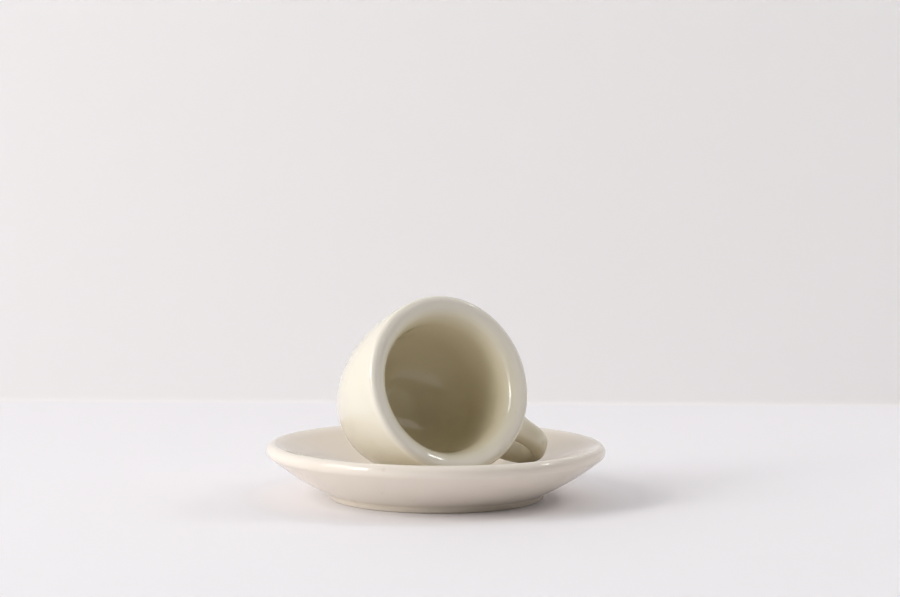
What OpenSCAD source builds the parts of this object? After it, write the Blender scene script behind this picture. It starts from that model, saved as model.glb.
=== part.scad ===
// Espresso cup lying on its side in its saucer: thick glazed ceramic, in millimetres.
// The origin is the middle of the saucer's foot ring, +Z is up and the cup's mouth faces -Y.

/* [Saucer] */
// Outside diameter of the rolled rim
saucer_d = 120; // [112:1:132]
// Height from the table to the top of the rim
saucer_h = 19.4; // [17.6:0.2:23]
// Thickness of the rolled rim
saucer_rim_t = 5; // [4:0.2:6]
// Height of the flat seat above the table
saucer_seat_z = 9.1; // [8.6:0.1:11]
// Level ground and cove left around the cup's foot
saucer_seat_margin = 2.7; // [2.5:0.1:6]
// Radius of the cove where the seat turns up into the sloped wall
saucer_cove_r = 15; // [8:1:16]
// Radius of the swell of the underside, seen in section
saucer_under_r = 150; // [90:5:300]
// Outside diameter of the foot ring
saucer_foot_d = 76.6; // [68:0.2:84]
// Width of the foot ring
saucer_foot_w = 3.8; // [3:0.2:7]
// Height at which the underside leaves the foot ring
saucer_step_z = 1.3; // [1.2:0.1:2.6]
// Depth of the hollow inside the foot ring
saucer_hollow_h = 4; // [2.8:0.2:5]

/* [Cup] */
// Overall height of the standing cup
cup_h = 42.4; // [38:0.2:50]
// Diameter at the widest part of the lip
cup_d = 62.2; // [57:0.2:68]
// Radius of the lip's outer edge
cup_lip_out_r = 2; // [1.2:0.1:3.2]
// Radius of the lip's inner side, which rolls down into the bowl
cup_lip_in_r = 5.4; // [3:0.2:7]
// Diameter that the curve of the wall has at the bottom of the foot
cup_foot_d = 44.8; // [38:0.2:48]
// Thickness of the wall level with the inside floor
cup_wall_t = 8; // [6:0.2:9]
// Height of the inside floor above the bottom of the foot
cup_floor_z = 6.5; // [5:0.1:9]
// Radius where the inside wall turns into the floor
cup_bowl_r = 16; // [9:0.5:17]
// Width of the foot ring
cup_foot_w = 4; // [3.4:0.2:6]
// Depth of the hollow inside the foot ring
cup_hollow_h = 1.8; // [1.2:0.1:2.4]

/* [Handle] */
// How far the handle stands out beyond the widest part of the lip
handle_out = 19.4; // [15:0.2:24]
// Height of the loop, outside to outside
handle_h = 29.5; // [26:0.5:33]
// Height of the middle of the loop above the bottom of the cup's foot
handle_mid_z = 21.5; // [19:0.5:24]
// Width of the strap
handle_w = 8.6; // [6:0.2:12]
// Thickness of the strap
handle_t = 5.6; // [4:0.2:7]
// How far the strap swells to each side where it is stuck to the wall
handle_swell = 1.6; // [0:0.1:2.4]
// Length of strap over which it swells
handle_swell_l = 7; // [3:0.5:10]

/* [Rest] */
// Sideways place of the cup's foot from the middle of the saucer
cup_x = -11.5; // [-15:0.1:-7]
// Place of the cup's foot behind the middle of the saucer
cup_y = 10.9; // [8:0.1:14]
// Gap left where the cup lies on the saucer
rest_gap = 0.2; // [0.1:0.05:0.4]

/* [Hidden] */
$fn = 180;

// How far a cut runs past the face it opens
overrun = 1;
// Radius of the edges of the saucer's foot ring
saucer_edge_r = 0.6;
// Radius of the inside corner between the saucer's foot ring and its underside
saucer_step_r = 0.8;
// Radius of the corner inside the saucer's foot ring
saucer_hollow_r = 2;
// Radius of the edges of the cup's foot ring
cup_edge_r = 0.8;
// Radius of the corner inside the cup's foot ring
cup_hollow_r = 1;
// Roundness of the loop and of the strap's section: 2 is an ellipse, more is squarer
loop_power = 2.6;
strap_power = 2.5;
// Stations along the strap and sides around it
loop_steps = 36;
strap_sides = 20;
// Rings of each end of the cup's wall that are tried against the saucer, and halvings of the search
rest_rings = 10;
rest_halvings = 26;
// Underside of the lying cup, as angles around its axis, and degrees between tries
rest_arc = [-150, -30];
rest_step = 4;

// Plane geometry
function unit(v) = v / norm(v);
// Point at a distance from p and another from q; side 1 is on the left of the way from p to q
function meet(p, rp, q, rq, side) =
    let (l = norm(q - p), u = (q - p) / l, a = (rp * rp - rq * rq + l * l) / (2 * l))
    p + a * u + side * sqrt(rp * rp - a * a) * [-u[1], u[0]];
// Point where the line from p grazes a circle
function graze(p, c, r, side) = meet(p, sqrt(pow(norm(c - p), 2) - r * r), c, r, side);

// Saucer, in section: x is the radius and y the height
rim_r = saucer_rim_t / 2;
rim_c = [saucer_d / 2 - rim_r, saucer_h - rim_r];
saucer_foot_r = saucer_foot_d / 2;
saucer_foot_in = saucer_foot_r - saucer_foot_w;
seat_corner = [cup_foot_d / 2 + saucer_seat_margin, saucer_seat_z];
slope_top = graze(seat_corner, rim_c, rim_r, 1);
slope_dir = unit(slope_top - seat_corner);
slope = atan2(slope_dir[1], slope_dir[0]);
cove_run = saucer_cove_r * tan(slope / 2);
seat_r = seat_corner[0] - cove_run;
cove_c = [seat_r, saucer_seat_z + saucer_cove_r];
cove_top = seat_corner + cove_run * slope_dir;
step_corner = [saucer_foot_r, saucer_step_z];
under_c = meet(step_corner, saucer_under_r, rim_c, saucer_under_r - rim_r, 1);
under_top = under_c + saucer_under_r * unit(rim_c - under_c);
step_x = saucer_foot_r + saucer_step_r;
step_reach = saucer_under_r + saucer_step_r;
step_c = [step_x, under_c[1] - sqrt(pow(step_reach, 2) - pow(step_x - under_c[0], 2))];
step_touch = under_c + saucer_under_r * unit(step_c - under_c);

// Height and steepness of the saucer's upper face at a radius
function top_z(r) = r <= seat_r ? saucer_seat_z
    : r <= cove_top[0] ? cove_c[1] - sqrt(pow(saucer_cove_r, 2) - pow(r - seat_r, 2))
    : seat_corner[1] + (r - seat_corner[0]) * tan(slope);
function top_slope(r) = r <= seat_r ? 0
    : r <= cove_top[0] ? asin((r - seat_r) / saucer_cove_r)
    : slope;

// Cup, in section: x is the radius and y the height above its foot
cup_r = cup_d / 2;
lip_x = cup_r - cup_lip_out_r;
lip_z = cup_h - cup_lip_out_r;
wall_in = cup_r - cup_foot_d / 2;
wall_r = (wall_in * wall_in + lip_z * lip_z) / (2 * wall_in);
wall_c = [cup_r - wall_r, lip_z];
function wall_at(z) = wall_c[0] + sqrt(wall_r * wall_r - pow(lip_z - z, 2));
bore_r = lip_x - cup_lip_in_r;
bore_z = cup_h - cup_lip_in_r;
bore_in = bore_r - (wall_at(cup_floor_z) - cup_wall_t);
bore_depth = bore_z - cup_floor_z;
bore_curve_r = (bore_in * bore_in + bore_depth * bore_depth) / (2 * bore_in);
bore_c = [bore_r - bore_curve_r, bore_z];
bowl_c_z = cup_floor_z + cup_bowl_r;
bowl_c = [bore_c[0] + sqrt(pow(bore_curve_r - cup_bowl_r, 2) - pow(bore_z - bowl_c_z, 2)), bowl_c_z];
bowl_top = bore_c + bore_curve_r * unit(bowl_c - bore_c);
foot_edge_c = [wall_c[0] + sqrt(pow(wall_r - cup_edge_r, 2) - pow(lip_z - cup_edge_r, 2)), cup_edge_r];
cup_foot_in = foot_edge_c[0] + cup_edge_r - cup_foot_w;

// Handle, in the cup's own frame: the loop lies in the plane of X and Z
loop_root_r = bore_r;
loop_half = [cup_r + handle_out - handle_t / 2 - loop_root_r, (handle_h - handle_t) / 2];
function loop_at(a) =
    let (across = pow(abs(cos(a)) / loop_half[0], loop_power),
         up = pow(abs(sin(a)) / loop_half[1], loop_power),
         k = pow(across + up, -1 / loop_power))
    [loop_root_r + k * cos(a), handle_mid_z + k * sin(a)];
function strap_swell(p) =
    let (away = min(max((p[0] - wall_at(p[1])) / handle_swell_l, 0), 1))
    handle_swell * pow(1 - away, 2);
function rounded(t) = sign(t) * pow(abs(t), 2 / strap_power);
loop_turn = 90 / loop_steps;
function strap_ring(a) =
    let (p = loop_at(a), along = unit(loop_at(a - loop_turn) - loop_at(a + loop_turn)),
         grow = strap_swell(p), half_t = handle_t / 2 + grow, half_w = handle_w / 2 + grow)
    [for (i = [0 : strap_sides - 1])
        let (b = 360 * i / strap_sides, t = half_t * rounded(cos(b)), w = half_w * rounded(sin(b)))
        [p[0] - t * along[1], w, p[1] + t * along[0]]];
handle_points = [for (i = [0 : loop_steps]) each strap_ring(90 - 2 * loop_turn * i)];
function quad(i, j) =
    let (k = i * strap_sides, m = (j + 1) % strap_sides, n = k + strap_sides)
    [[k + j, k + m, n + m], [k + j, n + m, n + j]];
handle_faces = concat(
    [[for (j = [0 : strap_sides - 1]) strap_sides - 1 - j]],
    [for (i = [0 : loop_steps - 1]) for (j = [0 : strap_sides - 1]) each quad(i, j)],
    [[for (j = [0 : strap_sides - 1]) loop_steps * strap_sides + j]]);

// How the cup lies: a point of the cup turned about its own axis, tipped onto its side, not yet set down
function lying(p, tilt, roll) =
    let (x = p[0] * cos(roll) - p[1] * sin(roll), y = p[0] * sin(roll) + p[1] * cos(roll))
    [cup_x + x, cup_y + y * sin(tilt) - p[2] * cos(tilt), y * cos(tilt) + p[2] * sin(tilt)];
// Least height of round-nosed points above the saucer's upper face
function room(points, nose, tilt, roll) = min([for (p = points)
    let (q = lying(p, tilt, roll), r = norm([q[0], q[1]]))
    q[2] - top_z(r) - nose / cos(top_slope(r))]);
function ring(r, z) = [for (a = [rest_arc[0] : rest_step : rest_arc[1]]) [r * cos(a), r * sin(a), z]];
function wall_rings(low, high) = [for (i = [0 : rest_rings])
    let (z = low + i * (high - low) / rest_rings)
    each ring(wall_at(z) - cup_edge_r, z)];
lip_ring = ring(lip_x, lip_z);
mouth_rings = wall_rings(lip_z / 2, lip_z);
foot_rings = wall_rings(foot_edge_c[1], lip_z / 2);
function mouth_room(tilt) =
    min(room(lip_ring, cup_lip_out_r, tilt, 0), room(mouth_rings, cup_edge_r, tilt, 0));
function foot_room(tilt) = room(foot_rings, cup_edge_r, tilt, 0);
// Between lying level and standing, the cup tips until both ends are equally close to the saucer
function find_tilt(low, high, left) =
    let (t = (low + high) / 2)
    left == 0 ? t
    : mouth_room(t) < foot_room(t) ? find_tilt(t, high, left - 1)
    : find_tilt(low, t, left - 1);
tilt = find_tilt(0, 90, rest_halvings);
cup_z = rest_gap - min(mouth_room(tilt), foot_room(tilt));
// Between handle down and handle up, the cup rolls until its handle comes down on the saucer too
function find_roll(low, high, left) =
    let (r = (low + high) / 2)
    left == 0 ? high
    : room(handle_points, 0, tilt, r) + cup_z < rest_gap ? find_roll(r, high, left - 1)
    : find_roll(low, r, left - 1);
roll = find_roll(-90, 90, rest_halvings);

// Disc in a section
module disc(c, r) translate(c) circle(r);

// Material that fills an inside corner up to an arc; its points reach into the solid behind the corner
module corner_fill(points, c, r) {
    difference() {
        polygon(points);
        disc(c, r);
    }
}

// Cut that rounds an outside edge: a and b point from the arc's centre to where it touches the two faces
module edge_cut(c, r, a, b) {
    far = r + overrun;
    difference() {
        polygon([c, c + r * a, c + far * a, c + far * (a + b) / (1 + a * b), c + far * b, c + r * b]);
        disc(c, r);
    }
}

// Rounding of the two lower edges of a foot ring
module foot_edges(outer_c, outer_dir, inner_r, r) {
    edge_cut(outer_c, r, outer_dir, [0, -1]);
    edge_cut([inner_r + r, r], r, [-1, 0], [0, -1]);
}

// Fill of the corner between a foot ring's inside and the ceiling of its hollow
module hollow_fill(inner_r, h, r) {
    c = [inner_r - r, h - r];
    solid_c = [inner_r, h] + overrun * [1, 1];
    corner_fill([[inner_r, c[1]], [solid_c[0], c[1]], solid_c, [c[0], solid_c[1]], [c[0], h], c], c, r);
}

// Air under the saucer, outside its foot ring
module under_cut() {
    difference() {
        polygon([step_corner, [saucer_foot_r, -overrun], [saucer_d, -overrun],
                 [saucer_d, under_top[1]], under_top]);
        disc(under_c, saucer_under_r);
        corner_fill([[saucer_foot_in, step_c[1]], step_c, step_touch, [saucer_foot_in, step_touch[1]]],
                    step_c, saucer_step_r);
    }
}

// Air inside a foot ring
module hollow_cut(inner_r, h, r) {
    difference() {
        translate([0, -overrun]) square([inner_r, h + overrun]);
        hollow_fill(inner_r, h, r);
    }
}

// The section is cut from a plain blank: dish, cove, underside, rim and foot
module saucer_section() {
    difference() {
        square([saucer_d / 2, saucer_h]);
        polygon([[0, saucer_seat_z], [seat_r, saucer_seat_z], cove_top, slope_top,
                 [slope_top[0], saucer_h + overrun], [0, saucer_h + overrun]]);
        disc(cove_c, saucer_cove_r);
        under_cut();
        edge_cut(rim_c, rim_r, unit(slope_top - rim_c), unit(under_top - rim_c));
        hollow_cut(saucer_foot_in, saucer_hollow_h, saucer_hollow_r);
        foot_edges([saucer_foot_r - saucer_edge_r, saucer_edge_r], [1, 0], saucer_foot_in, saucer_edge_r);
    }
}

// Outside of the cup's wall, filled to the axis and left tall for the lip
module wall_section() {
    intersection() {
        disc(wall_c, wall_r);
        square([cup_d, cup_h + overrun]);
    }
}

// Hollow of the cup below its lip, with a bowl where the wall meets the floor
module bore_cut() {
    low = cup_floor_z - overrun;
    difference() {
        intersection() {
            disc(bore_c, bore_curve_r);
            translate([0, cup_floor_z]) square([cup_r, bore_z + overrun - cup_floor_z]);
        }
        corner_fill([bowl_c, [bowl_c[0], low], [bore_r, low], bowl_top + overrun * unit(bowl_top - bowl_c)],
                    bowl_c, cup_bowl_r);
    }
}

// Air above the inner side of the lip
module mouth_cut() {
    difference() {
        translate([0, bore_z]) square([lip_x, cup_lip_in_r + 2 * overrun]);
        disc([lip_x, bore_z], cup_lip_in_r);
    }
}

// Air around the outer edge of the lip, lapping over the mouth's above the crest
module rim_cut() {
    top = cup_h + 2 * overrun;
    difference() {
        polygon([[lip_x, lip_z], [cup_d, lip_z], [cup_d, top], [lip_x - overrun, top], [lip_x, cup_h]]);
        disc([lip_x, lip_z], cup_lip_out_r);
    }
}

module cup_section() {
    difference() {
        wall_section();
        mouth_cut();
        rim_cut();
        bore_cut();
        hollow_cut(cup_foot_in, cup_hollow_h, cup_hollow_r);
        foot_edges(foot_edge_c, unit(foot_edge_c - wall_c), cup_foot_in, cup_edge_r);
    }
}

// Sets the cup down on its side, mouth to -Y
module lay() {
    translate([cup_x, cup_y, cup_z]) rotate([90 - tilt, 0, 0]) rotate([0, 0, roll]) children();
}

module saucer() color("antiquewhite") rotate_extrude() saucer_section();

module cup_body() color("ivory") lay() rotate_extrude() cup_section();

// The strap is swept through the wall and then cut to the wall's own curve
module cup_handle() color("ivory") lay() {
    difference() {
        polyhedron(handle_points, handle_faces);
        rotate_extrude() wall_section();
    }
}

saucer();
cup_body();
cup_handle();
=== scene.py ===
# %% [markdown]
# # An espresso cup lying in its saucer
# Both pieces are cream-glazed ceramic. The construction, the sizes and the way the cup lies come
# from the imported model. This lesson dresses it: it draws each piece again as a fine mesh, gives
# it a glaze, and sets it on a pale table in soft light from the left.

import math

import bpy
import numpy as np
from mathutils import Matrix, Vector


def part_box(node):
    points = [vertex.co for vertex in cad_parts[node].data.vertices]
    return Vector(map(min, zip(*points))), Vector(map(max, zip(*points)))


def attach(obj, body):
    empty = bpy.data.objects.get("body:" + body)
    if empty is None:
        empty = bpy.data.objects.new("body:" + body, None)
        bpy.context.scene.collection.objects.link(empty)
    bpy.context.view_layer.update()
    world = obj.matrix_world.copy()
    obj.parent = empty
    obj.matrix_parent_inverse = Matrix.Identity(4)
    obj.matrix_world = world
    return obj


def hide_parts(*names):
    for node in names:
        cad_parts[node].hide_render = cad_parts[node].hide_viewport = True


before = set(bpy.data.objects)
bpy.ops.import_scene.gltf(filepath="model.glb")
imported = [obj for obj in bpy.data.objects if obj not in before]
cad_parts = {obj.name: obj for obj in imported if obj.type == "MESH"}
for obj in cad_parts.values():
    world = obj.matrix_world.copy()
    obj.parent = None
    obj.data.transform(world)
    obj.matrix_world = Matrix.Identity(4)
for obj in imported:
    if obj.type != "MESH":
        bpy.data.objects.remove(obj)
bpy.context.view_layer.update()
MM = 0.001
UP = Vector((0, 0, 1))

# %% [markdown]
# ## The camera
# The picture is taken from a little above the table with a long lens. A camera is easiest to check
# when it is written the way a photographer would say it: how far away, how high, which way round,
# and where on the picture a known point falls. Here that point is on the saucer's axis, and the
# camera is first aimed straight at it and then turned until the point falls on its pixel.

# %% Camera
photo_size = (900, 597)
focal_px = 2817
aim_px = (436.9, 469.1)
aim_point = Vector((0, 0, 10 * MM))
view_distance = 1000 * MM
view_azimuth = math.radians(-30.6)
view_elevation = math.radians(8.19)
view_roll = math.radians(-0.37)
sensor_mm = 36

photo_right = Vector((math.cos(view_azimuth), math.sin(view_azimuth), 0))
photo_away = UP.cross(photo_right)


def photo_point(right, away, up):
    """A place given as the photographer sees it, in metres from the middle of the saucer's foot."""
    return right * photo_right + away * photo_away + up * UP


def make_camera():
    ahead = math.cos(view_elevation) * photo_away - math.sin(view_elevation) * UP
    place = aim_point - view_distance * ahead
    pitch = math.atan2(aim_px[1] - photo_size[1] / 2, focal_px)
    yaw = math.atan2(aim_px[0] - photo_size[0] / 2, focal_px)
    turn = Matrix.Rotation(yaw, 3, UP) @ Matrix.Rotation(pitch, 3, photo_right)
    ahead = turn @ ahead
    right = Matrix.Rotation(view_roll, 3, ahead) @ (turn @ photo_right)
    rows = Matrix((right, right.cross(ahead), -ahead)).transposed()
    data = bpy.data.cameras.new("camera")
    data.sensor_width = sensor_mm
    data.sensor_fit = "HORIZONTAL"
    data.lens = sensor_mm * focal_px / photo_size[0]
    camera = bpy.data.objects.new("camera", data)
    camera.matrix_world = Matrix.Translation(place) @ rows.to_4x4()
    bpy.context.scene.collection.objects.link(camera)
    bpy.context.scene.camera = camera
    return camera


camera = make_camera()
print("lens in mm:", round(camera.data.lens, 1), "at", [round(v, 3) for v in camera.location])

# %% [markdown]
# ## How the cup lies
# The cup is a round piece, so all that is needed to draw it again is its axis, the place of its foot
# and the side that its handle is on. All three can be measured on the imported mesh. The spread of a
# round surface is the same in every direction across its axis, so the axis is the one direction of
# spread that differs from the other two.

# %% Read the cup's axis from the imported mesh


def surface_spread(node):
    """Points of a node's mesh, and the middle and covariance of its surface, summed by triangles."""
    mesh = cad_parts[node].data
    mesh.calc_loop_triangles()
    points = np.array([v.co for v in mesh.vertices])
    corners = points[np.array([t.vertices for t in mesh.loop_triangles])]
    sides = corners[:, 1:] - corners[:, :1]
    areas = np.linalg.norm(np.cross(sides[:, 0], sides[:, 1]), axis=1) / 2
    middle = (areas[:, None] * corners.mean(1)).sum(0) / areas.sum()
    corners = corners - middle
    sums = corners.sum(1)
    moments = np.einsum("tci,tcj->tij", corners, corners) + np.einsum("ti,tj->tij", sums, sums)
    return points, middle, (areas[:, None, None] * moments).sum(0) / (12 * areas.sum())


def lying_cup():
    """The cup's own frame in the row frame: X to the handle, Z from the foot to the mouth."""
    points, middle, spread = surface_spread("cup_body")
    values, ways = np.linalg.eigh(spread)
    odd = np.abs(values - np.median(values)).argmax()
    axis = ways[:, odd] * -np.sign(ways[1, odd])
    foot = middle + axis * ((points - middle) @ axis).min()
    to_handle = surface_spread("cup_handle")[1] - foot
    to_handle -= axis * (to_handle @ axis)
    x_axis = Vector(to_handle).normalized()
    z_axis = Vector(axis)
    turn = Matrix((x_axis, z_axis.cross(x_axis), z_axis)).transposed()
    return Matrix.Translation(foot) @ turn.to_4x4()


cup_pose = lying_cup()
cup_tilt = math.degrees(math.asin(cup_pose.col[2][2]))
print("cup foot in mm:", [round(v / MM, 2) for v in cup_pose.translation], "tilt", round(cup_tilt, 2))

# %% [markdown]
# ## Drawing a turned piece
# A potter's profile tool gives a turned piece its section, and a lathe mesh works the same way: the
# section is drawn once, as straight lines and arcs, and carried around the axis. Arcs keep the joins
# tangent, so the glaze reflects without a kink. Sections are in millimetres, as (radius, height).

# %% Section helpers
section_step = 0.7
arc_step = math.radians(5)
same_point = 1e-4


def unit(v):
    return v / np.linalg.norm(v)


def pt(r, z):
    return np.array([r, z], float)


def meet(p, p_reach, q, q_reach):
    """Point at given distances from p and q, on the left of the way from p to q."""
    span = np.linalg.norm(q - p)
    u = (q - p) / span
    along = (p_reach**2 - q_reach**2 + span**2) / (2 * span)
    return p + along * u + math.sqrt(p_reach**2 - along**2) * pt(-u[1], u[0])


def line(a, b):
    count = max(2, math.ceil(np.linalg.norm(b - a) / section_step) + 1)
    return [a + (b - a) * t for t in np.linspace(0, 1, count)]


def arc(centre, start, end):
    """Shorter arc around a centre, from one point to another."""
    a, b = start - centre, end - centre
    begin = math.atan2(a[1], a[0])
    sweep = math.atan2(a[0] * b[1] - a[1] * b[0], a @ b)
    radius = np.linalg.norm(a)
    steps = max(2, math.ceil(abs(sweep) / arc_step), math.ceil(abs(sweep) * radius / section_step)) + 1
    turns = begin + sweep * np.linspace(0, 1, steps)
    return [centre + radius * pt(math.cos(t), math.sin(t)) for t in turns]


def chain(*runs):
    """Joins runs of points, leaving out points that repeat."""
    points = [runs[0][0]]
    for p in (p for run in runs for p in run):
        if np.linalg.norm(p - points[-1]) > same_point:
            points.append(p)
    return np.array(points)


# %% [markdown]
# The lathe carries a section around the axis. Beside its points, a section has marks: how thin the
# glaze lies, where it pools and carries painted shade, and where the clay is bare. The mesh stores
# them as attributes, and the glaze reads them later.

# %% Lathe
lathe_turns = 192


def make_piece(name, points, faces, marks):
    mesh = bpy.data.meshes.new(name)
    mesh.from_pydata([tuple(p) for p in points], [], faces)
    mesh.polygons.foreach_set("use_smooth", [True] * len(mesh.polygons))
    for mark, values in marks.items():
        mesh.attributes.new(mark, "FLOAT", "POINT").data.foreach_set("value", np.float32(values))
    mesh.update()
    piece = bpy.data.objects.new(name, mesh)
    bpy.context.scene.collection.objects.link(piece)
    print(name, "has", len(mesh.vertices), "points and", len(mesh.polygons), "faces")
    return piece


def around(values):
    """Repeats a section's values around the axis, apart from the two ends on the axis."""
    return np.concatenate([values[:1], np.repeat(values[1:-1], lathe_turns), values[-1:]])


def lathe(name, section, marks, pose=Matrix.Identity(4)):
    """Turns a section in mm, from a point on the axis to another, around the axis of a pose."""
    turns = np.arange(lathe_turns) * 2 * math.pi / lathe_turns
    rings = len(section) - 2
    points = [(0, 0, section[0, 1])]
    for r, z in section[1:-1]:
        points.extend((r * math.cos(t), r * math.sin(t), z) for t in turns)
    points.append((0, 0, section[-1, 1]))
    last = len(points) - 1
    faces = []
    for i in range(lathe_turns):
        j = (i + 1) % lathe_turns
        faces.append((0, 1 + i, 1 + j))
        for k in range(rings - 1):
            a, b = 1 + k * lathe_turns, 1 + (k + 1) * lathe_turns
            faces.append((a + i, b + i, b + j, a + j))
        end = 1 + (rings - 1) * lathe_turns
        faces.append((end + i, last, end + j))
    placed = [pose @ (MM * Vector(p)) for p in points]
    return make_piece(name, placed, faces, {mark: around(values) for mark, values in marks.items()})


# %% [markdown]
# ## Foot rings and glaze marks
# Both pieces stand on a foot ring whose sole is wiped clean of glaze before firing, which leaves the
# clay bare there. The glaze runs thin over an edge and pools inside the dish and the bowl, and the
# deeper colour of that pool mark is also painted shade, there and at the saucer's foot. These shapes
# and marks come twice, so they are drawn by functions that the saucer and the cup share.

# %% Foot rings and glaze marks
glaze_line = 0.3


def foot_ring(edge_x, inside, edge, hollow, fillet):
    """Sole and hollow of a foot ring, on to the axis, from where the round of its outer edge ends."""
    return (
        line(pt(edge_x, 0), pt(inside + edge, 0)),
        arc(pt(inside + edge, edge), pt(inside + edge, 0), pt(inside, edge)),
        line(pt(inside, edge), pt(inside, hollow - fillet)),
        arc(pt(inside - fillet, hollow - fillet), pt(inside, hollow - fillet), pt(inside - fillet, hollow)),
        line(pt(inside - fillet, hollow), pt(0, hollow)),
    )


def near(section, place, reach):
    """Soft mark of 1 at a place on a section, fading out over the reach."""
    return np.exp(-((np.linalg.norm(section - place, axis=1) / reach) ** 2))


def inside_share(section, crest, reach):
    """Mark of 1 on the upper side of a piece, fading out over the reach to the crest of its edge."""
    before_crest = np.arange(len(section)) < np.linalg.norm(section - crest, axis=1).argmin()
    return np.where(before_crest, 1 - near(section, crest, reach), 0)


def bare_sole(section):
    """Mark of 1 on the sole of a foot ring, falling to 0 at the glaze line."""
    return np.clip(1 - section[:, 1] / glaze_line, 0, 1)


# %% [markdown]
# ## The saucer
# The saucer is a shallow dish with a rolled rim, a flat well for the cup and a foot ring on which it
# stands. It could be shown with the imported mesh, but that is cut into long triangles, which show in
# a glossy glaze. So its section is drawn again. The light on the real piece shows a slightly fuller
# underside and softer foot edges than the model has, and they are drawn that way here.

# %% Saucer
saucer_low, saucer_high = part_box("saucer")
saucer_r = (saucer_high.x - saucer_low.x) / 2 / MM
saucer_h = saucer_high.z / MM
rim_r = 2.5
seat_z = 9.1
well_r = 25.1
cove_r = 15
under_r = 90
foot_r = 38.3
foot_w = 3.8
foot_step = 2
foot_edge = 1.4
foot_fillet = 1.5
hollow_h = 4
hollow_fillet = 2
rim_thin_reach = 2.2
rim_pool_and_shade_reach = 3.5
step_pool_and_shade_reach = 2


def saucer_section():
    rim_c = pt(saucer_r - rim_r, saucer_h - rim_r)
    corner = pt(well_r, seat_z)
    reach = math.sqrt(np.sum((rim_c - corner) ** 2) - rim_r**2)
    slope_top = meet(corner, reach, rim_c, rim_r)
    way = unit(slope_top - corner)
    run = cove_r * math.tan(math.atan2(way[1], way[0]) / 2)
    cove_c = pt(well_r - run, seat_z + cove_r)
    slope_low = corner + run * way
    under_c = meet(pt(foot_r, foot_step), under_r, rim_c, under_r - rim_r)
    under_top = under_c + under_r * unit(rim_c - under_c)
    step_x = foot_r + foot_fillet
    drop = math.sqrt((under_r + foot_fillet) ** 2 - (step_x - under_c[0]) ** 2)
    step_c = pt(step_x, under_c[1] - drop)
    under_low = under_c + under_r * unit(step_c - under_c)
    edge_c = pt(foot_r - foot_edge, foot_edge)
    crest = rim_c + pt(0, rim_r)
    brow = rim_c + pt(rim_r, 0)
    section = chain(
        line(pt(0, seat_z), pt(cove_c[0], seat_z)),
        arc(cove_c, pt(cove_c[0], seat_z), slope_low),
        line(slope_low, slope_top),
        arc(rim_c, slope_top, crest),
        arc(rim_c, crest, brow),
        arc(rim_c, brow, under_top),
        arc(under_c, under_top, under_low),
        arc(step_c, under_low, pt(foot_r, step_c[1])),
        line(pt(foot_r, step_c[1]), pt(foot_r, foot_edge)),
        arc(edge_c, pt(foot_r, foot_edge), pt(edge_c[0], 0)),
        *foot_ring(edge_c[0], foot_r - foot_w, foot_edge, hollow_h, hollow_fillet),
    )
    marks = {
        "thin": near(section, crest, rim_thin_reach),
        # the pool mark deepens the dish's inside and the foot step: pooled glaze, and painted shade
        "pool": inside_share(section, crest, rim_pool_and_shade_reach) + near(section, step_c, step_pool_and_shade_reach),
        "bare": bare_sole(section),
    }
    return section, marks


saucer = lathe("saucer_ware", *saucer_section())
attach(saucer, "saucer")
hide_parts("saucer")

# %% [markdown]
# ## The cup
# The cup has a thick wall with a round lip, a mouth that flares a little behind it, an inside that
# turns into the floor in a bowl, and a foot ring. Its outside is one arc, upright below the lip and
# closing in towards the foot. The arc comes first, because the handle needs it too.

# %% Outside of the cup
cup_h = 42.4
cup_r = 31.1
lip_out_r = 2
cup_foot_r = 22.4

lip_z = cup_h - lip_out_r
lip_top = pt(cup_r - lip_out_r, cup_h)
foot_lean = cup_r - cup_foot_r
wall_r = (foot_lean**2 + lip_z**2) / (2 * foot_lean)
wall_c = pt(cup_r - wall_r, lip_z)


def wall_at(z):
    """Radius of the outside at a height."""
    return wall_c[0] + math.sqrt(wall_r**2 - (lip_z - z) ** 2)


print("the outside of the cup is an arc of", round(wall_r, 1), "mm")

# %% [markdown]
# The whole section is then drawn upright, from the middle of the floor out over the lip and back
# under the foot. The lathe sets it down in the pose that was read from the model.

# %% Cup
lip_in_r = 5.4
flare_start = math.radians(28)
flare_r = 16
bore_lean = math.radians(6)
cup_floor = 6.5
bowl_r = 16
cup_edge = 0.8
cup_foot_w = 4
cup_hollow = 1.8
cup_fillet = 1
lip_thin_reach = 2.6
lip_pool_and_shade_reach = 7


def facing_in(lean):
    """Direction square to a line that leans inward by an angle, seen from the inside of the cup."""
    return pt(-math.cos(lean), math.sin(lean))


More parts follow.
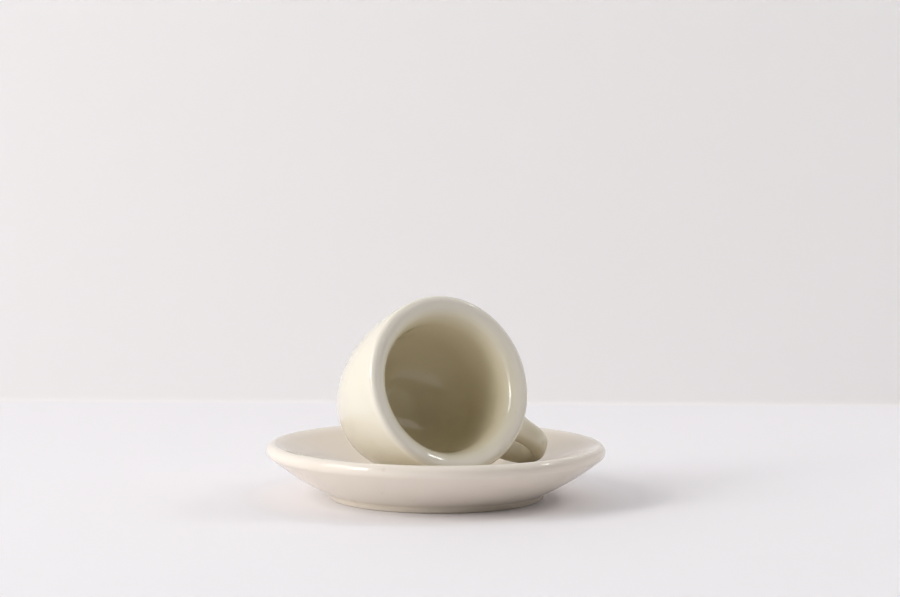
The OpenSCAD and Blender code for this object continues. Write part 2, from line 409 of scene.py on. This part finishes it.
def cup_section():
    lip_c = lip_top - pt(0, lip_in_r)
    flare_top = lip_c + lip_in_r * facing_in(flare_start)
    flare_c = flare_top - flare_r * facing_in(flare_start)
    bore_top = flare_c + flare_r * facing_in(bore_lean)
    bowl_z = cup_floor + bowl_r
    bowl_top_z = bowl_z - bowl_r * math.sin(bore_lean)
    bowl_top = pt(bore_top[0] - (bore_top[1] - bowl_top_z) * math.tan(bore_lean), bowl_top_z)
    bowl_c = bowl_top + bowl_r * facing_in(bore_lean)
    edge_c = pt(wall_c[0] + math.sqrt((wall_r - cup_edge) ** 2 - (lip_z - cup_edge) ** 2), cup_edge)
    wall_low = wall_c + wall_r * unit(edge_c - wall_c)
    foot_in = edge_c[0] + cup_edge - cup_foot_w
    section = chain(
        line(pt(0, cup_floor), pt(bowl_c[0], cup_floor)),
        arc(bowl_c, pt(bowl_c[0], cup_floor), bowl_top),
        line(bowl_top, bore_top),
        arc(flare_c, bore_top, flare_top),
        arc(lip_c, flare_top, lip_top),
        arc(lip_top - pt(0, lip_out_r), lip_top, pt(cup_r, lip_z)),
        arc(wall_c, pt(cup_r, lip_z), wall_low),
        arc(edge_c, wall_low, pt(edge_c[0], 0)),
        *foot_ring(edge_c[0], foot_in, cup_edge, cup_hollow, cup_fillet),
    )
    marks = {
        "thin": near(section, lip_top, lip_thin_reach),
        # the pool mark deepens the whole inside: pooled glaze, and painted shade that darkens the bowl
        "pool": inside_share(section, lip_top, lip_pool_and_shade_reach),
        "bare": bare_sole(section),
    }
    return section, marks


cup = lathe("cup_ware", *cup_section(), pose=cup_pose)
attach(cup, "cup")
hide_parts("cup_body")

# %% [markdown]
# ## The handle
# A cup's handle is a strap bent into a loop and stuck to the wall with slip, which is wiped into a
# small fillet around each root. A curve with a bevel could make the strap, but not the fillet. So the
# strap is swept point by point. Its middle line comes first: half of a squared-off oval, cut into
# even steps.

# %% Middle line of the handle
handle_out = 19.4
handle_h = 29.5
handle_mid = 21.5
handle_w = 8.6
handle_t = 5.6
strap_root = 23.7
loop_power = 2.6
strap_step = 0.3
path_samples = 2000


def loop_path():
    """Middle line of the strap in the cup's XZ plane, evenly spaced, from the upper root to the lower."""
    half = pt(cup_r + handle_out - handle_t / 2 - strap_root, (handle_h - handle_t) / 2)
    turns = np.linspace(math.pi / 2, -math.pi / 2, path_samples)
    ways = np.stack([np.cos(turns), np.sin(turns)], 1)
    reach = (np.abs(ways / half) ** loop_power).sum(1) ** (-1 / loop_power)
    dense = pt(strap_root, handle_mid) + reach[:, None] * ways
    along = np.concatenate([[0], np.cumsum(np.linalg.norm(np.diff(dense, axis=0), axis=1))])
    even = np.linspace(0, along[-1], round(along[-1] / strap_step))
    return np.stack([np.interp(even, along, dense[:, k]) for k in range(2)], 1)


handle_path = loop_path()
print("the handle's middle line has", len(handle_path), "points")

# %% [markdown]
# Around each point of that line stands one ring of the strap. It swells towards the wall, and each
# of its points knows how far it is from the wall. Near the wall a point moves outward along the
# quarter circle of the fillet.

# %% Rings of the strap
strap_sides = 48
strap_power = 2.5
handle_swell = 1.6
swell_reach = 7
fillet_r = 1.6


def share_of(value, whole):
    return min(max(value / whole, 0), 1)


def strap_outline():
    """Unit outline of the strap's section and its outward directions."""
    turns = np.arange(strap_sides) * 2 * math.pi / strap_sides
    c, s = np.cos(turns), np.sin(turns)
    shape = np.stack([np.sign(v) * np.abs(v) ** (2 / strap_power) for v in (c, s)], 1)
    outward = np.stack([np.sign(v) * np.abs(v) ** (2 - 2 / strap_power) for v in (c, s)], 1)
    return shape, outward / np.array([handle_t, handle_w])


def wall_gap(point):
    """Distance of a point in the cup's own frame from the outside of its wall."""
    lean = unit(pt(wall_r, lip_z - point[2]))[0]
    return (math.hypot(point[0], point[1]) - wall_at(point[2])) * lean


def fillet_out(gap):
    """How far the fillet stands out from the strap at a distance from the wall."""
    left = 1 - share_of(gap, fillet_r)
    return fillet_r * (1 - math.sqrt(1 - left**2))


def strap_ring(p, way, outline):
    """Points of one ring of the strap, each with its distance from the wall before the fillet."""
    side = np.array([-way[1], 0, way[0]])
    swell = handle_swell * (1 - share_of(p[0] - wall_at(p[1]), swell_reach)) ** 2
    halves = np.array([handle_t, handle_w]) / 2 + swell
    ring = []
    for (t, w), out in zip(*outline):
        t, w = t * halves[0], w * halves[1]
        base = np.array([p[0], 0, p[1]]) + t * side + np.array([0, w, 0])
        gap = wall_gap(base)
        out = out / np.linalg.norm(out) * fillet_out(gap)
        moved = base + out[0] * side + np.array([0, out[1], 0])
        settle = (gap - wall_gap(moved)) * (1 - share_of(gap, fillet_r))
        radial = unit(np.array([moved[0], moved[1], 0]))
        ring.append((moved + settle * radial, gap))
    return ring


# %% [markdown]
# The rings are joined into a closed mesh that ends a little inside the wall. The handle takes part of
# the pooled glaze's deeper colour as painted shade, less and less towards the wall, so that no edge of
# colour shows where the two meet.

# %% Handle
root_depth = 0.5
handle_pool_and_shade = 0.4
pool_and_shade_reach = 4


def handle_mesh():
    outline = strap_outline()
    ways = np.gradient(handle_path, axis=0)
    rings = [strap_ring(p, unit(w), outline) for p, w in zip(handle_path, ways)]
    rings = [ring for ring in rings if max(gap for _, gap in ring) > -root_depth]
    points = [cup_pose @ (MM * Vector(p)) for ring in rings for p, _ in ring]
    gaps = np.array([gap for ring in rings for _, gap in ring])
    faces = []
    for k in range(len(rings) - 1):
        a, b = k * strap_sides, (k + 1) * strap_sides
        for i in range(strap_sides):
            j = (i + 1) % strap_sides
            faces.append((a + i, b + i, b + j, a + j))
    faces.append(tuple(range(strap_sides)))
    faces.append(tuple(range(len(points) - 1, len(points) - 1 - strap_sides, -1)))
    none = np.zeros(len(points))
    # deeper colour on the handle: painted shade
    pool = handle_pool_and_shade * np.clip(gaps / pool_and_shade_reach, 0, 1)
    return points, faces, {"thin": none, "pool": pool, "bare": none}


handle = make_piece("handle_ware", *handle_mesh())
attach(handle, "cup")
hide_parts("cup_handle")

# %% [markdown]
# ## The glaze
# The glaze is a clear, glossy skin over a pale clay, so most of its look comes from a smooth
# reflection over a soft cream colour. A single colour would look like plastic. Real glaze drifts a
# little in tone, lies thinner on an edge and thicker in a hollow, has a few specks of iron, and stops
# at the foot. The deeper colour of the thicker glaze also carries painted shade inside the cup, in the
# dish, at the saucer's foot and on the handle. Both pieces share these effects, so each effect is one
# node group with inputs for what differs. Short helpers for adding nodes keep the groups readable.

# %% Node helpers
# Places of a Mix node's share, first and second sockets, and of its result, for each kind of mix
MIX_SOCKETS = {"FLOAT": ((0, 2, 3), 0), "RGBA": ((0, 6, 7), 2)}


def new_group(name, inputs, outputs):
    """Node group with named sockets; inputs are names to values, and a tuple is a colour."""
    group = bpy.data.node_groups.new(name, "ShaderNodeTree")
    for label, value in inputs.items():
        kind = "NodeSocketColor" if isinstance(value, tuple) else "NodeSocketFloat"
        group.interface.new_socket(label, in_out="INPUT", socket_type=kind).default_value = value
    for label, kind in outputs.items():
        group.interface.new_socket(label, in_out="OUTPUT", socket_type=kind)
    return group, group.nodes.new("NodeGroupInput").outputs, group.nodes.new("NodeGroupOutput").inputs


def plug(tree, socket, value):
    """Links another node's output to a socket, or sets the socket to a value."""
    if isinstance(value, bpy.types.NodeSocket):
        tree.links.new(value, socket)
    else:
        socket.default_value = value


def node(tree, kind, settings=None, **sockets):
    """Adds a node; sockets are given by name, with _ for a space."""
    made = tree.nodes.new(kind)
    for key, value in (settings or {}).items():
        setattr(made, key, value)
    for label, value in sockets.items():
        plug(tree, made.inputs[label.replace("_", " ")], value)
    return made


def math_node(tree, operation, *values):
    made = node(tree, "ShaderNodeMath", {"operation": operation})
    for socket, value in zip(made.inputs, values):
        plug(tree, socket, value)
    return made.outputs[0]


def mix(tree, kind, share, a, b):
    """Goes from a to b by a share, for values (FLOAT) or colours (RGBA)."""
    made = node(tree, "ShaderNodeMix", {"data_type": kind})
    places, out = MIX_SOCKETS[kind]
    for place, value in zip(places, (share, a, b)):
        plug(tree, made.inputs[place], value)
    return made.outputs[out]


def ramp(tree, value, span):
    """Goes from 0 to 1 while a value crosses a span."""
    return node(tree, "ShaderNodeMapRange", Value=value, From_Min=span[0], From_Max=span[1]).outputs[0]


def mark(tree, name):
    return node(tree, "ShaderNodeAttribute", {"attribute_name": name}).outputs["Fac"]


def noise(tree, per_metre, detail=2.0):
    where = node(tree, "ShaderNodeTexCoord").outputs["Object"]
    return node(tree, "ShaderNodeTexNoise", Vector=where, Scale=per_metre, Detail=detail).outputs["Fac"]


# %% [markdown]
# The first group gives the colour. Slow noise moves the tone, the marks on the mesh thin the glaze or
# pool it and paint shade into it, sparse specks dot it, and a slightly wandering line ends it at the foot.

# %% Glaze tone
plain = (0.8, 0.8, 0.8, 1)
drift_per_m = 55
drift_span = (0.35, 0.65)
speck_per_m = 420
speck_span = (0.8, 0.84)
line_wander_per_m = 260
line_wander = 0.3
bare_span = (0.75, 0.85)


def glaze_tone():
    inputs = {"Glaze": plain, "Thin": plain, "Pooled": plain, "Clay": plain, "Drift": 0.3, "Specks": 0.2}
    outputs = {"Color": "NodeSocketColor", "Bare": "NodeSocketFloat"}
    group, given, out = new_group("glaze_tone", inputs, outputs)
    drift = ramp(group, noise(group, drift_per_m), drift_span)
    drift = math_node(group, "MULTIPLY", drift, given["Drift"])
    tone = mix(group, "RGBA", drift, given["Glaze"], given["Pooled"])
    # the pool mark mixes in the deeper colour: pooled glaze and painted shade
    tone = mix(group, "RGBA", mark(group, "pool"), tone, given["Pooled"])
    tone = mix(group, "RGBA", mark(group, "thin"), tone, given["Thin"])
    fleck = ramp(group, noise(group, speck_per_m, 0), speck_span)
    fleck = math_node(group, "MULTIPLY", fleck, given["Specks"])
    tone = mix(group, "RGBA", fleck, tone, given["Clay"])
    wander = math_node(group, "MULTIPLY", noise(group, line_wander_per_m), line_wander)
    bare = ramp(group, math_node(group, "ADD", mark(group, "bare"), wander), bare_span)
    plug(group, out["Color"], mix(group, "RGBA", bare, tone, given["Clay"]))
    plug(group, out["Bare"], bare)
    return group


tone_group = glaze_tone()
print("node group", tone_group.name, "has", len(tone_group.nodes), "nodes")

# %% [markdown]
# The second group gives the skin: how smooth it is and how it undulates. Fired glaze has a faint
# orange peel, and long waves that bend the edges of a reflection. Bare clay is rough and grainy.

# %% Glaze skin
wave_per_m = 45
gloss_breath = 0.02
peel_per_m = 700
peel_height = 0.06
grain_per_m = 2600
grain_height = 0.4


def glaze_skin():
    inputs = {"Bare": 0.0, "Gloss": 0.04, "Clay rough": 0.75}
    outputs = {"Roughness": "NodeSocketFloat", "Height": "NodeSocketFloat"}
    group, given, out = new_group("glaze_skin", inputs, outputs)
    breath = math_node(group, "MULTIPLY", noise(group, wave_per_m), gloss_breath)
    gloss = math_node(group, "ADD", given["Gloss"], breath)
    plug(group, out["Roughness"], mix(group, "FLOAT", given["Bare"], gloss, given["Clay rough"]))
    peel = math_node(group, "MULTIPLY", noise(group, peel_per_m, 0), peel_height)
    skin = math_node(group, "ADD", noise(group, wave_per_m, 0), peel)
    grain = math_node(group, "MULTIPLY", noise(group, grain_per_m), given["Bare"])
    grain = math_node(group, "MULTIPLY", grain, grain_height)
    plug(group, out["Height"], math_node(group, "ADD", skin, grain))
    return group


skin_group = glaze_skin()
print("node group", skin_group.name, "has", len(skin_group.nodes), "nodes")

# %% [markdown]
# Each glaze is then a material that places the two groups with its own colours. The cup's glaze is
# ivory. The saucer's is a little pinker and deeper.

# %% Glazed materials
bump_depth = 0.15 * MM
bump_strength = 0.5


def glazed(name, drift, specks, **colours):
    material = bpy.data.materials.new(name)
    material.use_nodes = True
    tree = material.node_tree
    shader = tree.nodes["Principled BSDF"]
    tone = node(tree, "ShaderNodeGroup", {"node_tree": tone_group}, Drift=drift, Specks=specks)
    for label, colour in colours.items():
        plug(tree, tone.inputs[label.capitalize()], (*colour, 1))
    skin = node(tree, "ShaderNodeGroup", {"node_tree": skin_group}, Bare=tone.outputs["Bare"])
    height = skin.outputs["Height"]
    bump = node(tree, "ShaderNodeBump", Strength=bump_strength, Distance=bump_depth, Height=height)
    plug(tree, shader.inputs["Base Color"], tone.outputs["Color"])
    plug(tree, shader.inputs["Roughness"], skin.outputs["Roughness"])
    plug(tree, shader.inputs["Normal"], bump.outputs["Normal"])
    return material


cup_glaze = glazed(
    "cup_glaze",
    glaze=(0.78, 0.735, 0.62),
    thin=(0.84, 0.79, 0.69),
    # deeper colour of pooled glaze, also painted shade inside the cup and on the handle
    pooled=(0.74, 0.66, 0.46),
    clay=(0.62, 0.50, 0.38),
    drift=0.12,
    specks=0.15,
)
saucer_glaze = glazed(
    "saucer_glaze",
    glaze=(0.865, 0.78, 0.68),
    thin=(0.86, 0.79, 0.70),
    # deeper colour of pooled glaze, also painted shade in the dish and at the foot
    pooled=(0.755, 0.67, 0.545),
    clay=(0.60, 0.48, 0.38),
    drift=0.12,
    specks=0.15,
)
for piece, material in ((saucer, saucer_glaze), (cup, cup_glaze), (handle, cup_glaze)):
    piece.data.materials.append(material)
    print(piece.name, "is finished with", material.name)

# %% [markdown]
# ## Table and backdrop
# The set stands on a pale table in front of a pale wall. They would hide the object from a camera
# behind the wall or under the table, so their paint lets a view from the back straight through.

# %% Table and backdrop
wall_away = 278 * MM
wall_up = 3.0
wall_cove = 2 * MM
cove_parts = 8
stage_half = 4.0


def sweep_sheet(name, outline):
    """Sheet drawn by an outline of (away, up) points carried across the view."""
    points = [photo_point(side * stage_half, a, u) for a, u in outline for side in (-1, 1)]
    faces = [(2 * k, 2 * k + 1, 2 * k + 3, 2 * k + 2) for k in range(len(outline) - 1)]
    sheet = make_piece(name, points, faces, {})
    return sheet


def cove_point(turn):
    """Point of the round between the table and the wall, by how far it has turned upright."""
    return wall_away - wall_cove * (1 - math.sin(turn)), wall_cove * (1 - math.cos(turn))


table = sweep_sheet("table", [(-stage_half, 0), (stage_half, 0)])
cove = [cove_point(math.pi / 2 * k / cove_parts) for k in range(cove_parts + 1)]
backdrop = sweep_sheet("backdrop", [*cove, (wall_away, wall_up)])

# %% Table and backdrop paint


def painted(name, colour, rough):
    """Dull paint that is only there from its front."""
    material = bpy.data.materials.new(name)
    material.use_nodes = True
    tree = material.node_tree
    shader = tree.nodes["Principled BSDF"]
    shader.inputs["Base Color"].default_value = (*colour, 1)
    shader.inputs["Roughness"].default_value = rough
    clear = node(tree, "ShaderNodeBsdfTransparent")
    back = node(tree, "ShaderNodeNewGeometry").outputs["Backfacing"]
    choice = node(tree, "ShaderNodeMixShader", Fac=back)
    tree.links.new(shader.outputs[0], choice.inputs[1])
    tree.links.new(clear.outputs[0], choice.inputs[2])
    tree.links.new(choice.outputs[0], tree.nodes["Material Output"].inputs["Surface"])
    return material


table.data.materials.append(painted("table_paint", colour=(0.925, 0.91, 0.935), rough=0.8))
backdrop.data.materials.append(painted("wall_paint", colour=(0.95, 0.925, 0.92), rough=0.9))
print("painted:", table.name, backdrop.name)

# %% [markdown]
# ## Light
# Daylight comes from the left: a broad soft light, a narrow window that draws the thin streak on the
# lip, and a low one for the undersides. A broad light on the right and one overhead fill the
# shadows, and a small lamp gives the short highlight at the bottom of the lip. The lights are kept
# at a level at which a colour comes out about as it is written.

# %% Light


def soft_light(name, place, size, watts):
    """Area light at a (right, away, up) place in metres, aimed at the saucer."""
    data = bpy.data.lights.new(name, "AREA")
    data.shape = "RECTANGLE"
    data.size, data.size_y = size
    data.energy = watts
    light = bpy.data.objects.new(name, data)
    light.location = photo_point(*place)
    light.rotation_euler = (aim_point - light.location).to_track_quat("-Z", "Y").to_euler()
    bpy.context.scene.collection.objects.link(light)
    print(name, "at", [round(v, 2) for v in light.location], "of", watts, "W")


soft_light("key_light", place=(-2.8, -1.02, 1.87), size=(1.92, 1.92), watts=58.5)
soft_light("window_light", place=(-1.25, -0.94, 0.66), size=(0.35, 0.6), watts=6.2)
soft_light("low_light", place=(-1.50, -1.13, 0.26), size=(1.4, 0.4), watts=3.5)
soft_light("right_light", place=(1.26, -0.02, 1.14), size=(1.5, 1.5), watts=7.4)
soft_light("ceiling_light", place=(0.0, -0.1, 1.7), size=(1.5, 1.5), watts=2)
soft_light("lamp", place=(0.85, 0.18, 0.85), size=(0.12, 0.12), watts=1)

# %% Room
room_tint = (1.0, 0.985, 0.97, 1)
room_strength = 0.10

world = bpy.data.worlds.new("room")
bpy.context.scene.world = world
world.use_nodes = True
sky = world.node_tree.nodes["Background"]
sky.inputs["Color"].default_value = room_tint
sky.inputs["Strength"].default_value = room_strength
bpy.context.scene.view_settings.view_transform = "Standard"
print("the room adds light of strength", room_strength)
